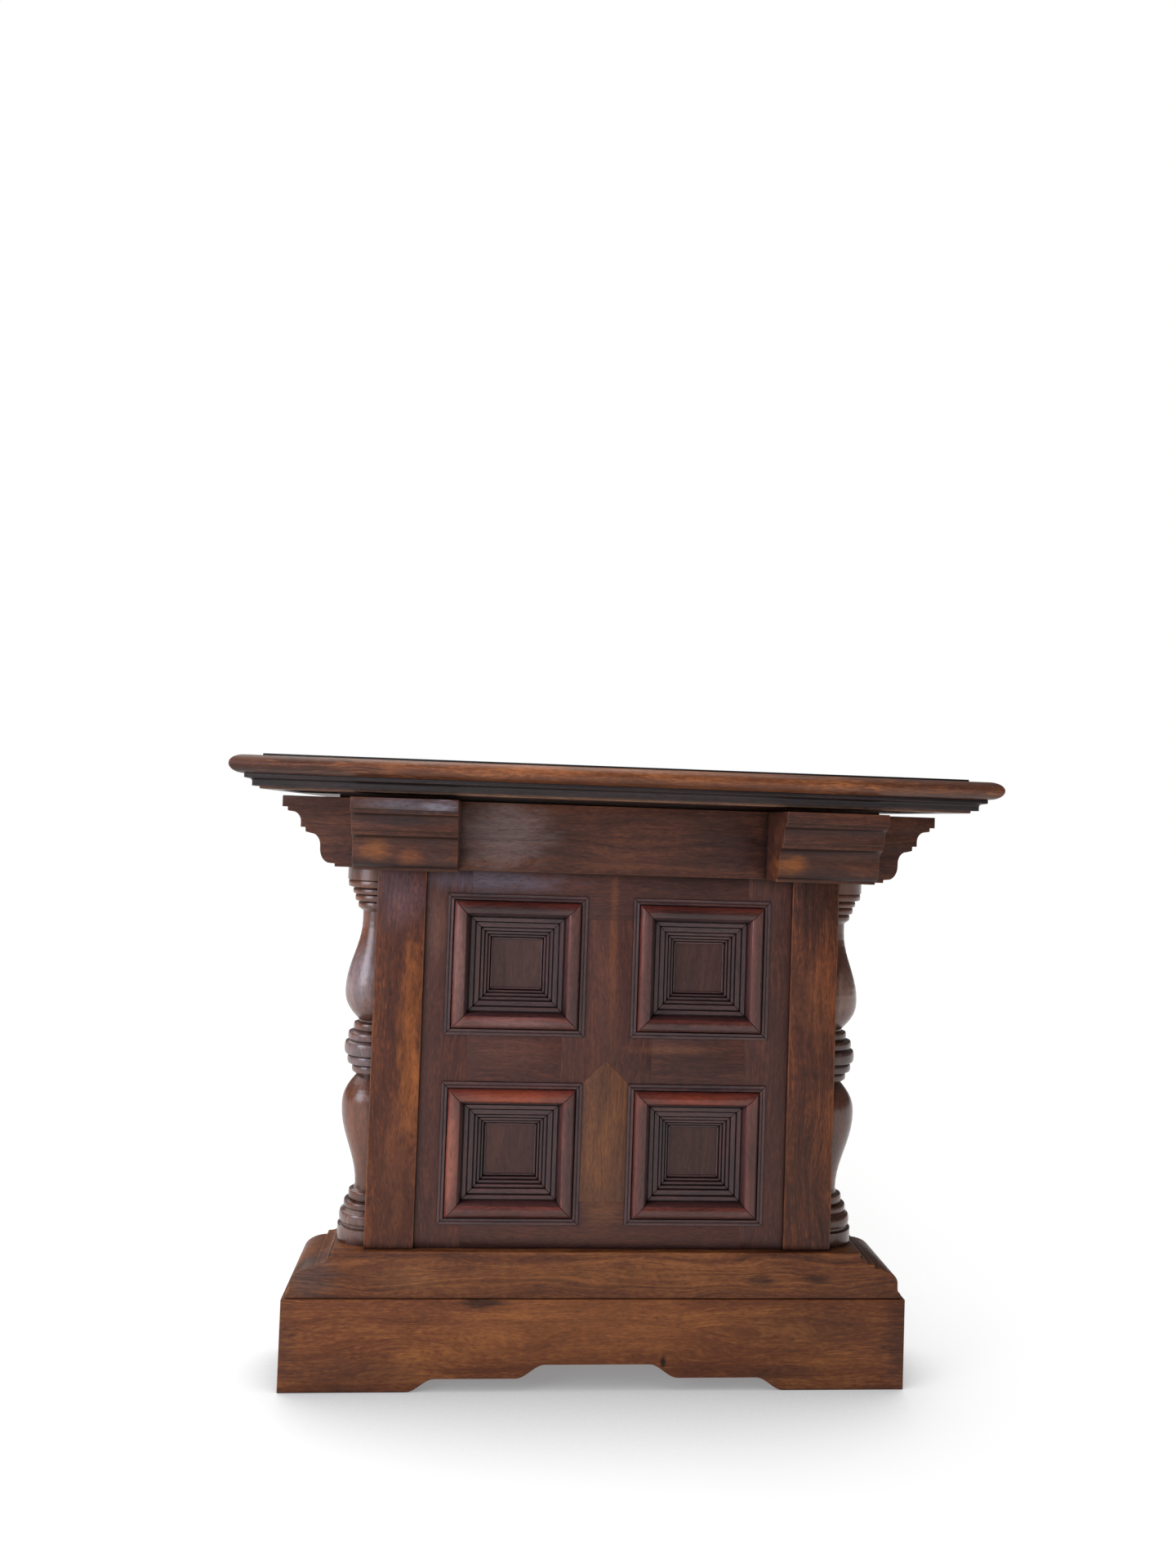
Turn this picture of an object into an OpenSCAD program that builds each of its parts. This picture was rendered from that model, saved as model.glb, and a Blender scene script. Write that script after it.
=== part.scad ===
// Slab-end table of carved walnut: two panelled slab ends on scalloped plinths,
// a long top with a bullnose lipping, and a stretcher between the ends.
// X runs across the table, Y along it, Z up. The origin is on the floor,
// under the middle of the top. The front end faces -Y.

/* [Table] */
// Length of the top, over the lippings
table_l = 1830; // [1400:10:2200]
// Width of the top, over the lippings
table_w = 892; // [860:2:960]
// Height of the table
table_h = 762; // [745:1:780]
// How far the top reaches past the plinth at each end
overhang = 118; // [112:1:180]

/* [Top] */
// Thickness of the top and its bullnose lipping
lipping_h = 21; // [18:1:28]
// Width of the bullnose lipping
lipping_w = 31; // [26:1:40]
// Thickness of the dark covering laid in the field of the top
field_h = 3; // [1:0.5:4]
// Depth of the stepped moulding under the lipping
mould_h = 13.5; // [12:0.5:16]
// Depth of the flat frame that carries the top
subframe_h = 16.5; // [15.5:0.5:19]
// Width of the boards of that frame
subframe_w = 70; // [50:1:90]
// Clear gap between the frame and the tops of the brackets
shadow_gap = 5.5; // [3:0.5:8]

/* [Plinth and foot] */
// Width of the plinth board
plinth_w = 770; // [740:2:800]
// Thickness of the plinth board
plinth_t = 116; // [100:1:130]
// Height of the plinth board
plinth_h = 111; // [100:1:120]
// Width of the floor pad at each side of the plinth
pad_w = 153; // [120:1:170]
// Rise of the low scallops under the plinth
scallop_low = 15.5; // [8:0.5:20]
// Rise of the middle scallop
scallop_high = 32; // [24:0.5:40]
// Thickness of the foot beam
foot_t = 112; // [96:1:124]
// Height of the foot beam
foot_h = 56.5; // [50:0.5:64]

/* [Pedestal] */
// Width of the pedestal over its stiles
pedestal_w = 580; // [570:1:600]
// Thickness of the pedestal over its stiles
pedestal_t = 96; // [84:1:104]
// Width of each stile
stile_w = 60; // [54:1:66]
// How far the stiles stand proud of the panel frame
stile_proud = 4; // [2:0.5:8]
// Side of each square coffer
coffer_size = 174; // [168:1:174]
// Width of the middle rail, and of the mullions that mitre into it
rail_w = 57.5; // [54:0.5:64]
// Width of the upright margin boards beside the coffers
margin_w = 56; // [50:1:60]
// How far each coffer laps over the joints of the boards round it
coffer_lap = 28; // [20:1:32]
// Depth of the coffers, from the panel frame to their ground
coffer_depth = 18; // [14:1:24]
// Side of the flat ground left open in each coffer
ground_size = 64; // [56:1:72]

/* [Half columns] */
// Radius of the cap drum
cap_r = 42; // [38:0.5:46]
// Radius of the base drum
base_r = 38; // [34:0.5:42]
// Radius of the thin ends of the balusters
neck_r = 21.5; // [18:0.5:24]
// Radius of the balusters at their fullest
belly_r = 39; // [34:0.5:42]

/* [Bearer and brackets] */
// Length of the bearer that carries the top
bearer_l = 812; // [790:2:820]
// Thickness of the bearer
bearer_t = 130; // [120:1:136]
// Height of the bearer
bearer_h = 84.5; // [78:0.5:92]
// Run of the ogee cut on each end of the bearer
ogee_run = 65; // [56:1:72]
// Width of each bracket on the outer face
bracket_w = 122; // [110:1:130]
// Distance between the two brackets
bracket_gap = 381; // [360:1:400]
// How far a bracket reaches out at its top
bracket_top = 99; // [90:1:104]
// How far a bracket reaches out at its foot
bracket_foot = 52; // [44:1:60]

/* [Stretcher] */
// Thickness of the stretcher
stretcher_t = 40; // [30:1:60]
// Depth of the stretcher
stretcher_h = 140; // [90:1:180]
// Height of its lower edge above the foot beams
stretcher_lift = 18; // [0:1:60]

/* [Hidden] */

// Heights of the layers of the top
panel_top = table_h - field_h;
panel_z = panel_top - lipping_h;
subframe_z = panel_z - subframe_h;
bearer_top = subframe_z - shadow_gap;

// Heights of the layers of a slab end
foot_top = plinth_h + foot_h;
bearer_z = bearer_top - bearer_h;

// Middle plane of a slab end, measured from the middle of the table
end_y = table_l / 2 - overhang - plinth_t / 2;

// Setting out of the pedestal face
face = pedestal_t / 2;
frame_face = face - stile_proud;
core_face = frame_face - coffer_depth;
field_half = pedestal_w / 2 - stile_w;
rail_half = field_half - margin_w;
mid_z = (foot_top + bearer_z) / 2;
coffer_at = (rail_w + coffer_size) / 2;
mullion_half = rail_w / 2 + coffer_lap;
rail_reach = rail_w / 2 + coffer_size - coffer_lap;

// Set-backs of the under-top moulding from the edge of the table
mould_fascia = 14.5;
mould_cove = 19;
mould_foot = 22;
mould_back = 29;

// Clearance that keeps cutting tools proud of what they cut
cut = 1;
wood_dark = "#3f2a20";
wood_mid = "#5a3a28";
wood_warm = "#75482c";
wood_black = "#2e2826";

// Points on a quarter or half ellipse, from angle a0 to a1
function arc(cx, cy, rx, ry, a0, a1, n = 8) =
    [for (i = [0:n]) let (a = a0 + (a1 - a0) * i / n) [cx + rx * cos(a), cy + ry * sin(a)]];

// Points on an S-shaped curve from p to q, level at both ends
function ease(p, q, n = 10) =
    [for (i = [0:n]) let (t = i / n) [
        p[0] + (q[0] - p[0]) * t,
        p[1] + (q[1] - p[1]) * (1 - cos(180 * t)) / 2
    ]];

// Points on a baluster's taper, upright at both ends
function taper(r0, z0, r1, z1, n = 10) =
    [for (p = ease([z0, r0], [z1, r1], n)) [p[1], p[0]]];

// Points on a baluster's shoulder, full at z0 and drawn in at z1
function shoulder(r0, z0, r1, z1, n = 8) =
    [for (i = [0:n]) let (t = i / n) [
        r1 + (r0 - r1) * cos(90 * pow(t, 1.3)),
        z0 + (z1 - z0) * t
    ]];

// Points on a rounded ring of a turning, standing d proud of radius r
function ring(r, z_low, z_high, d) =
    arc(r, (z_low + z_high) / 2, d, (z_high - z_low) / 2, -90, 90, 8);

// The same points in the other order
function reversed(points) = [for (i = [len(points) - 1:-1:0]) points[i]];

// The points of an outline's right half, mirrored to make its left half
function mirrored(points) = [for (p = reversed(points)) [-p[0], p[1]]];

// Stepped cove and ogee, as seen from the side: u outward, v downward.
// The same shape ends the bearer and faces the brackets.
function ogee_outline(run, drop) = concat(
    [[run, 0], [run, -0.16 * drop], [0.9 * run, -0.16 * drop], [0.9 * run, -0.215 * drop]],
    arc(0.81 * run, -0.37 * drop, -0.16 * run, 0.145 * drop, 90, 0, 6),
    [[0.65 * run, -0.445 * drop], [0.56 * run, -0.445 * drop], [0.56 * run, -0.51 * drop]],
    arc(0.45 * run, -0.7 * drop, -0.17 * run, 0.17 * drop, 90, 0, 6),
    arc(0.09 * run, -0.74 * drop, 0.19 * run, 0.21 * drop, 0, -90, 8),
    [[0, -0.955 * drop], [0, -drop]]
);

// One length of trim along the +X edge of a len x 2*off rectangle, mitred at both ends.
// The child is its section, with x = 0 at the outer edge and y as height.
module edge_run(len, off) {
    deep = 150;
    intersection() {
        translate([off, 0, 0])
            rotate([90, 0, 0])
                linear_extrude(len, center = true)
                    children();
        linear_extrude(table_h + cut)
            polygon([
                [off, -len / 2], [off, len / 2],
                [off - deep, len / 2 - deep], [off - deep, deep - len / 2]
            ]);
    }
}

// Places a run on one of the four edges of the top
module on_edge(side) {
    long = side == "left" || side == "right";
    turn = side == "right" ? 0 : side == "back" ? 90 : side == "left" ? 180 : 270;
    rotate([0, 0, turn])
        edge_run(long ? table_l : table_w, (long ? table_w : table_l) / 2)
            children();
}

// Places a slab end: its outer face looks out of the table
module at_end(which) {
    rotate([0, 0, which == "front" ? 0 : 180])
        translate([0, -end_y, 0])
            children();
}

// Extrudes an outline drawn in X and Z to a thickness about the slab's middle plane
module slab(t) {
    rotate([90, 0, 0])
        linear_extrude(t, center = true)
            children();
}

// Extrudes an outline drawn in X and Z as one board of the panel frame
module frame_board() {
    translate([0, -core_face, 0])
        rotate([90, 0, 0])
            linear_extrude(coffer_depth)
                children();
}

module top_field() {
    color("#1c1a1a")
        translate([0, 0, panel_top])
            linear_extrude(field_h)
                square([table_w - 2 * lipping_w, table_l - 2 * lipping_w], center = true);
}

module top_panel() {
    color(wood_mid)
        translate([0, 0, panel_z])
            linear_extrude(lipping_h)
                square([table_w - 2 * lipping_w, table_l - 2 * lipping_w], center = true);
}

module lipping(side) {
    nose = 14;
    color(wood_warm)
        on_edge(side)
            polygon(concat(
                [[-lipping_w, panel_z]],
                arc(-nose, panel_z + lipping_h / 2, nose, lipping_h / 2, -90, 90, 16),
                [[-lipping_w, panel_top]]
            ));
}

module moulding(side) {
    fascia = panel_z - 4.5;
    foot = panel_z - mould_h;
    color(wood_black)
        on_edge(side)
            polygon(concat(
                [[-mould_back, panel_z], [-mould_fascia, panel_z], [-mould_fascia, fascia]],
                arc(-mould_cove, fascia - 4, -(mould_foot - mould_cove), 3, 90, 0, 5),
                [[-mould_foot, foot], [-mould_back, foot]]
            ));
}

module subframe(side) {
    color(wood_mid)
        on_edge(side)
            translate([-mould_back - subframe_w, subframe_z])
                square([subframe_w, subframe_h]);
}

module batten(which) {
    wide = 90;
    color(wood_dark)
        at_end(which)
            translate([0, 0, bearer_top])
                linear_extrude(panel_z - bearer_top)
                    square([bearer_l - 2 * ogee_run - cut, wide], center = true);
}

module plinth(which) {
    half = plinth_w / 2;
    pad_in = half - pad_w;
    low_out = pad_in - 34;
    low_in = 100;
    high_out = 64;
    right_edge = concat(
        ease([high_out, scallop_high], [low_in, scallop_low]),
        ease([low_out, scallop_low], [pad_in, 0]),
        [[half, 0], [half, plinth_h]]
    );
    color(wood_warm)
        at_end(which)
            slab(plinth_t)
                polygon(concat(right_edge, mirrored(right_edge)));
}

module foot_beam(which) {
    ledge = 5;
    ogee = 53;
    half = plinth_w / 2 - ledge;
    top_half = half - ogee;
    z = plinth_h;
    right_edge = concat(
        [[half, z], [half, z + 6]],
        arc(half, z + 13, -4, -7, 90, 0, 4),
        arc(half - 34, z + 19, 30, 18.5, 0, 90, 10),
        [[half - 34, z + 42.5], [half - 37, z + 42.5]],
        arc(half - 37, z + 50.5, -11, -8, 90, 0, 6),
        [[top_half, z + 50.5], [top_half, foot_top]]
    );
    color(wood_warm)
        at_end(which)
            slab(foot_t)
                polygon(concat(right_edge, mirrored(right_edge)));
}

module core(which) {
    color(wood_dark)
        at_end(which)
            translate([-field_half, -core_face, foot_top])
                cube([2 * field_half, core_face + frame_face, bearer_z - foot_top]);
}

module stile(which, side) {
    color(wood_warm)
        at_end(which)
            translate([side * (field_half + stile_w / 2), 0, foot_top])
                linear_extrude(bearer_z - foot_top)
                    square([stile_w, pedestal_t], center = true);
}

// Cuts the four coffers out of a board of the panel frame
module round_coffers() {
    difference() {
        children();
        for (x = [-coffer_at, coffer_at], z = [-coffer_at, coffer_at])
            translate([x, mid_z + z])
                square(coffer_size, center = true);
    }
}

module margin(which, side) {
    color(wood_mid)
        at_end(which)
            frame_board()
                round_coffers()
                    translate([side * (rail_half + margin_w / 2), mid_z])
                        square([margin_w, bearer_z - foot_top], center = true);
}

module top_rail(which) {
    low = mid_z + rail_reach;
    color(wood_mid)
        at_end(which)
            frame_board()
                round_coffers()
                    translate([-rail_half, low])
                        square([2 * rail_half, bearer_z - low]);
}

module bottom_rail(which) {
    high = mid_z - rail_reach;
    color(wood_mid)
        at_end(which)
            frame_board()
                round_coffers()
                    translate([-rail_half, foot_top])
                        square([2 * rail_half, high - foot_top]);
}

// The two lengths of the middle rail, one on each side of the mullions
module mid_rails(which) {
    color(wood_mid)
        at_end(which)
            frame_board()
                for (s = [-1, 1])
                    translate([s * (mullion_half + rail_half) / 2, mid_z])
                        square([rail_half - mullion_half, rail_w], center = true);
}

// An upright between the coffers. The lower one ends in a point,
// and the upper one is notched to sit over it.
module mullion(which, up) {
    m = mullion_half;
    far = mid_z + up * rail_reach;
    color(up > 0 ? wood_mid : wood_warm)
        at_end(which)
            frame_board()
                round_coffers()
                    polygon([[0, mid_z], [m, mid_z - m], [m, far], [-m, far], [-m, mid_z - m]]);
}

// One tread of a coffer, with the quirk at its outer side. It starts x in from the edge.
function tread(x, z, w) =
    [[x, z - 0.5], [x + 0.6, z - 0.5], [x + 0.9, z], [x + w, z - 0.3]];

// Square moulded coffer: fillets, a bold half-round bolection, then treads down to the ground.
// Each point is [distance in from the outer edge, height above the panel frame].
module coffer(which, x, z) {
    half = coffer_size / 2;
    band = half - ground_size / 2;
    s = band / 55;
    fall = (coffer_depth - 7) / 4;
    section = concat(
        [[0, -coffer_depth], [0, 1.6], [3, 2], [3.6, 0.8], [4.4, 2], [7.2, 2.2], [7.8, 0.2]],
        arc(17.5, -0.6, 9.4, 8.2, 172, 8, 14),
        [[27.2, -1.6]],
        [for (i = [0:4]) each tread(27.9 + 5.3 * i, -4.2 - fall * i, 5.3)],
        [[55, 0.5 - coffer_depth], [55, -coffer_depth]]
    );
    color(wood_dark)
        at_end(which)
            translate([x * coffer_at, -frame_face, mid_z + z * coffer_at])
                rotate([90, 0, 0])
                    rotate([0, 0, 45])
                        rotate_extrude($fn = 4)
                            polygon([for (p = section) [(half - p[0] * s) * sqrt(2), p[1]]]);
}

// Split turning: two balusters foot to foot, with rings between, above and below
module half_column(which, side) {
    z0 = foot_top;
    outline = concat(
        [[0, z0], [base_r, z0], [base_r, z0 + 17], [base_r - 4, z0 + 18.5]],
        ring(base_r - 4, z0 + 21, z0 + 35, 2.5),
        [[base_r - 6, z0 + 37]],
        ring(base_r - 8, z0 + 39, z0 + 47, 1.5),
        ring(base_r - 13, z0 + 48, z0 + 59, 1),
        [[neck_r - 2, z0 + 61]],
        taper(neck_r - 3, z0 + 66, belly_r - 0.5, z0 + 163),
        shoulder(belly_r - 0.5, z0 + 163, neck_r, z0 + 202),
        ring(neck_r + 5, z0 + 206, z0 + 215, 1.5),
        ring(neck_r + 11, z0 + 217, z0 + 227, 1.5),
        ring(belly_r - 3, z0 + 229, z0 + 244, 2),
        ring(neck_r + 11, z0 + 246, z0 + 256, 1.5),
        ring(neck_r + 5, z0 + 258, z0 + 267, 1),
        [[neck_r, z0 + 269]],
        reversed(shoulder(belly_r + 0.5, z0 + 309, neck_r, z0 + 271)),
        taper(belly_r + 0.5, z0 + 309, neck_r, z0 + 395),
        [[neck_r, z0 + 407]],
        ring(neck_r + 5, z0 + 411, z0 + 419, 1.5),
        ring(neck_r + 9, z0 + 420, z0 + 428, 1.5),
        ring(neck_r + 12, z0 + 429, z0 + 436, 1.5),
        ring(cap_r - 2, z0 + 438, z0 + 446, 1),
        [[cap_r, z0 + 447], [cap_r, bearer_z], [0, bearer_z]]
    );
    color(wood_dark)
        at_end(which)
            translate([side * pedestal_w / 2, 0, 0])
                intersection() {
                    rotate_extrude($fn = 96)
                        polygon(outline);
                    translate([side > 0 ? 0 : -2 * cap_r, -2 * cap_r, 0])
                        cube([2 * cap_r, 4 * cap_r, table_h]);
                }
}

module bearer(which) {
    foot_half = bearer_l / 2 - ogee_run;
    right_end = [for (p = ogee_outline(ogee_run, bearer_h)) [foot_half + p[0], bearer_top + p[1]]];
    left_end = mirrored(right_end);
    color(wood_mid)
        at_end(which)
            slab(bearer_t)
                polygon(concat(right_end, left_end));
}

module bracket(which, side) {
    run = bracket_top - bracket_foot;
    foot_face = -bearer_t / 2 - bracket_foot;
    outline = [for (p = ogee_outline(run, bearer_h)) [foot_face - p[0], bearer_top + p[1]]];
    color(wood_mid)
        at_end(which)
            translate([side * (bracket_gap + bracket_w) / 2, 0, 0])
                rotate([90, 0, 90])
                    linear_extrude(bracket_w, center = true)
                        polygon(concat(
                            outline,
                            [[-bearer_t / 2, bearer_z], [-bearer_t / 2, bearer_top]]
                        ));
}

module stretcher() {
    inner = end_y - frame_face;
    color(wood_mid)
        translate([-stretcher_t / 2, -inner, foot_top + stretcher_lift])
            cube([stretcher_t, 2 * inner, stretcher_h]);
}

top_field();
top_panel();
lipping("left");  // lipping_left
lipping("right");  // lipping_right
lipping("front");  // lipping_front
lipping("back");  // lipping_back
moulding("left");  // moulding_left
moulding("right");  // moulding_right
moulding("front");  // moulding_front
moulding("back");  // moulding_back
subframe("left");  // subframe_left
subframe("right");  // subframe_right
subframe("front");  // subframe_front
subframe("back");  // subframe_back
batten("front");  // batten_front
batten("back");  // batten_back
stretcher();
plinth("front");  // front_plinth
foot_beam("front");  // front_foot_beam
core("front");  // front_core
stile("front", -1);  // front_stile_l
stile("front", 1);  // front_stile_r
margin("front", -1);  // front_margin_l
margin("front", 1);  // front_margin_r
top_rail("front");  // front_top_rail
mid_rails("front");  // front_mid_rails
bottom_rail("front");  // front_bottom_rail
mullion("front", 1);  // front_upper_mullion
mullion("front", -1);  // front_lower_mullion
coffer("front", -1, 1);  // front_coffer_tl
coffer("front", 1, 1);  // front_coffer_tr
coffer("front", -1, -1);  // front_coffer_bl
coffer("front", 1, -1);  // front_coffer_br
half_column("front", -1);  // front_half_column_l
half_column("front", 1);  // front_half_column_r
bearer("front");  // front_bearer
bracket("front", -1);  // front_bracket_l
bracket("front", 1);  // front_bracket_r
plinth("back");  // back_plinth
foot_beam("back");  // back_foot_beam
core("back");  // back_core
stile("back", -1);  // back_stile_l
stile("back", 1);  // back_stile_r
margin("back", -1);  // back_margin_l
margin("back", 1);  // back_margin_r
top_rail("back");  // back_top_rail
mid_rails("back");  // back_mid_rails
bottom_rail("back");  // back_bottom_rail
mullion("back", 1);  // back_upper_mullion
mullion("back", -1);  // back_lower_mullion
coffer("back", -1, 1);  // back_coffer_tl
coffer("back", 1, 1);  // back_coffer_tr
coffer("back", -1, -1);  // back_coffer_bl
coffer("back", 1, -1);  // back_coffer_br
half_column("back", -1);  // back_half_column_l
half_column("back", 1);  // back_half_column_r
bearer("back");  // back_bearer
bracket("back", -1);  // back_bracket_l
bracket("back", 1);  // back_bracket_r
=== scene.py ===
# Slab-end communion table in carved walnut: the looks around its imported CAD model
import math

import bmesh
import bpy
from mathutils import Matrix, Vector


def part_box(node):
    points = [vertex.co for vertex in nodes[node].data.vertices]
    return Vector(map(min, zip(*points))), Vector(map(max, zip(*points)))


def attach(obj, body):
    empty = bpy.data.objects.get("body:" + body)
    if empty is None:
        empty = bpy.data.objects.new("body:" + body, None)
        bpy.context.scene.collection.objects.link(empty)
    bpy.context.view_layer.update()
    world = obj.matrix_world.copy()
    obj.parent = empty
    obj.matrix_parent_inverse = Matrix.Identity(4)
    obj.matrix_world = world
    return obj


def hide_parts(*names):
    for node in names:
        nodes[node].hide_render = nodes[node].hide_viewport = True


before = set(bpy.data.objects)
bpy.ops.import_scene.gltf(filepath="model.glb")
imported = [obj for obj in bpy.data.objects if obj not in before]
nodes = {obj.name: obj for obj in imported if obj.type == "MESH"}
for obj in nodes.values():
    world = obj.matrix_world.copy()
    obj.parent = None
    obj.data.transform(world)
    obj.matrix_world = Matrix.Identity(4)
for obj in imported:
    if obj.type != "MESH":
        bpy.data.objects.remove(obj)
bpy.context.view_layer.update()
mm = 0.001
ends = ("front", "back")
print("frame loaded:", len(nodes), "nodes")


camera = {
    "place": (-0.1458, -2.1935, 0.6978),
    "turn": -4.51,      # degrees to the left or right of straight on
    "raise": 1.85,
    "roll": 1.94,
    "lens": 25.9,       # mm, on a 36 mm long side
}


def colour(hexText):
    # sRGB hex to the linear values that Blender's sockets hold
    channels = [int(hexText[i:i + 2], 16) / 255 for i in (1, 3, 5)]
    return [c / 12.92 if c <= 0.04045 else ((c + 0.055) / 1.055) ** 2.4 for c in channels] + [1.0]


def addNode(tree, kind, inputs=None, **settings):
    # inputs maps a socket's name or number to a value, or to the node or socket that feeds it
    node = tree.nodes.new(kind)
    for name, value in settings.items():
        setattr(node, name, value)
    for socket, value in (inputs or {}).items():
        if isinstance(value, bpy.types.Node):
            value = value.outputs[0]
        if isinstance(value, bpy.types.NodeSocket):
            tree.links.new(value, node.inputs[socket])
        else:
            node.inputs[socket].default_value = value
    return node


def linkNew(thing):
    bpy.context.scene.collection.objects.link(thing)
    return thing


def makeCamera():
    data = bpy.data.cameras.new("camera")
    data.lens = camera["lens"]
    data.sensor_width = 36
    data.clip_end = 60
    thing = linkNew(bpy.data.objects.new("camera", data))
    turned = (
        Matrix.Rotation(math.radians(camera["turn"]), 4, "Z")
        @ Matrix.Rotation(math.radians(90 + camera["raise"]), 4, "X")
        @ Matrix.Rotation(math.radians(camera["roll"]), 4, "Z")
    )
    thing.matrix_world = Matrix.Translation(camera["place"]) @ turned
    bpy.context.scene.camera = thing


windows = {
    # a near window at the left and a farther one behind the eye, which puts a sheen on the upper left
    "sideWindow": {"at": (-1.5, -1.8, 1.0), "aim": (0.0, -0.8, 0.35), "size": (0.9, 1.0), "power": 22,
                   "hex": "#eef1ff"},
    "farWindow": {"at": (-1.0, -3.7, 1.45), "aim": (-0.3, -0.8, 0.65), "size": (0.9, 1.1), "power": 11,
                  "hex": "#dfe6ff"},
}
sky = {"from": (-0.35, 0.40, 1.0), "spread": 75, "power": 2.3, "hex": "#fffefc"}


def makeLights():
    for name, window in windows.items():
        data = bpy.data.lights.new(name, "AREA")
        data.shape = "RECTANGLE"
        data.size, data.size_y = window["size"]
        data.energy = window["power"]
        data.color = colour(window["hex"])[:3]
        thing = linkNew(bpy.data.objects.new(name, data))
        thing.location = window["at"]
        line = Vector(window["aim"]) - thing.location
        thing.rotation_euler = line.to_track_quat("-Z", "Y").to_euler()
        thing.visible_camera = False
    data = bpy.data.lights.new("sky", "SUN")
    data.angle = math.radians(sky["spread"])
    data.energy = sky["power"]
    data.color = colour(sky["hex"])[:3]
    thing = linkNew(bpy.data.objects.new("sky", data))
    thing.rotation_euler = (-Vector(sky["from"])).to_track_quat("-Z", "Y").to_euler()


backdrop = {"seen": 1.0, "lighting": 0.12, "hex": "#ffffff"}


def makeWorld():
    # white where the eye sees it, and dimmer as a light, like a dark room with a white sweep
    world = bpy.data.worlds.new("paleRoom")
    bpy.context.scene.world = world
    world.use_nodes = True
    tree = world.node_tree
    tree.nodes.clear()
    path = addNode(tree, "ShaderNodeLightPath")
    strength = addNode(tree, "ShaderNodeMapRange", {
        "Value": path.outputs["Is Camera Ray"], "To Min": backdrop["lighting"], "To Max": backdrop["seen"]})
    shade = addNode(tree, "ShaderNodeBackground", {
        "Color": colour(backdrop["hex"]), "Strength": strength})
    addNode(tree, "ShaderNodeOutputWorld", {"Surface": shade})


floor = {
    "reach": 40.0,
    "hex": "#8c8c8c",
    "roughness": 0.85,
    "gloss": 0.1,
    "paintedGlow": 0.88,         # painted light: the floor glows, so that it ends in white
    "shadow": 0.25,       # painted shadow: the share of that glow left beneath the table
    "shade": 0.30,        # m, how far out from the table the painted shadow reaches
    "open": (0.36, 0.93),    # share of open sky where the painted shadow is full and where it ends
}


def makeFloor():
    mesh = bpy.data.meshes.new("floor")
    reach = floor["reach"]
    corners = [(-reach, -reach, 0), (reach, -reach, 0), (reach, reach, 0), (-reach, reach, 0)]
    mesh.from_pydata(corners, [], [(0, 1, 2, 3)])
    thing = linkNew(bpy.data.objects.new("floor", mesh))
    material = bpy.data.materials.new("paleMattFloor")
    material.use_nodes = True
    tree = material.node_tree
    tree.nodes.clear()
    # painted shadow: the floor's glow is dimmed where the table is near
    paintedShadowMask = addNode(tree, "ShaderNodeAmbientOcclusion", {"Distance": floor["shade"]}, samples=8)
    paintedGlow = addNode(tree, "ShaderNodeMapRange", {
        "Value": paintedShadowMask.outputs["AO"], "From Min": floor["open"][0], "From Max": floor["open"][1],
        "To Min": floor["shadow"], "To Max": floor["paintedGlow"]})
    shader = addNode(tree, "ShaderNodeBsdfPrincipled", {
        "Base Color": colour(floor["hex"]), "Roughness": floor["roughness"],
        "Specular IOR Level": floor["gloss"],
        "Emission Color": colour("#ffffff"), "Emission Strength": paintedGlow})
    addNode(tree, "ShaderNodeOutputMaterial", {"Surface": shader})
    mesh.materials.append(material)


bpy.context.scene.view_settings.view_transform = "Standard"
makeCamera()
makeLights()
makeWorld()
makeFloor()
print("camera, lights and floor made")


axes = {"x": 0, "y": 1, "z": 2}


def alongGrain(axis, long, cross):
    # scale that makes a pattern long mm along the grain and cross mm over it
    return [1 / long if i == axes[axis] else 1 / cross for i in range(3)]


walnutBase = {
    # French-polished walnut, about a century old: dark heartwood stripes, open pores, worn arrises
    "dark": "#32201b",
    "mid": "#5a3626",
    "light": "#8a5636",
    "ring": 9.0,          # mm between the darker growth bands
    "warp": 36.0,         # mm that the bands wander
    "marks": {
        # length and width in mm, then detail. Fibres and pores are about twice as coarse as
        # real ones so that they show.
        "fibre": (52.0, 1.8, 3.0),
        "fleck": (9.0, 2.4, 1.0),
        "pore": (8.0, 1.0, 0.0),
        "cloud": (150.0, 45.0, 2.5),
        "curl": (9.0, 26.0, 1.5),
        "rub": (28.0, 9.0, 3.0),
        "plane": (95.0, 60.0, 1.0),
    },
    "bands": 0.45,        # how strongly each kind of mark tells in the colour
    "clouds": 0.95,
    "fibres": 0.75,
    "flecks": 0.50,
    "curl": 0.12,
    "pores": 0.45,
    "wearAndHighlight": "#b5713c",    # arrises rubbed through to bare wood, and on the coffer treads a painted highlight along the edges
    "wearAndHighlightWidth": 2.6,     # mm
    "wearAndHighlightAmount": 0.55,
    "grimeAndShade": "#120d0e",   # old wax and painted shade in the hollows, and painted shade under faces that look down
    "grimeAndShadeReach": 9.0,    # mm
    "grimeAndShadeAmount": 0.85,
    "under": 0.35,        # painted shade: how much darker the faces that look down are
    "smooth": 0.32,
    "rough": 0.52,
    "gloss": 0.24,        # specular level
    "coat": 0.06,
    "coatRoughness": 0.26,
    "bump": 0.16,         # mm, depth of pores and fibres
    "planed": 1.6,        # mm, how far a hand-planed face wavers, drawn deep so that it shows
    "paintedLitSide": None,        # painted light: the colour and direction of the side drawn as lit
    "spots": {},          # places with another colour, wood colours and painted light and shade alike, listed for the board that each is on
    "figure": (0.6, 1.4),    # how dark and light the grain is drawn in both
}
boardShift = 900          # mm, how far apart in the log two boards may be cut
bandWander = (170, 38)    # mm along and across the grain over which the growth bands wander
bandRun = 14              # how many times longer a band is than it is wide


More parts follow.
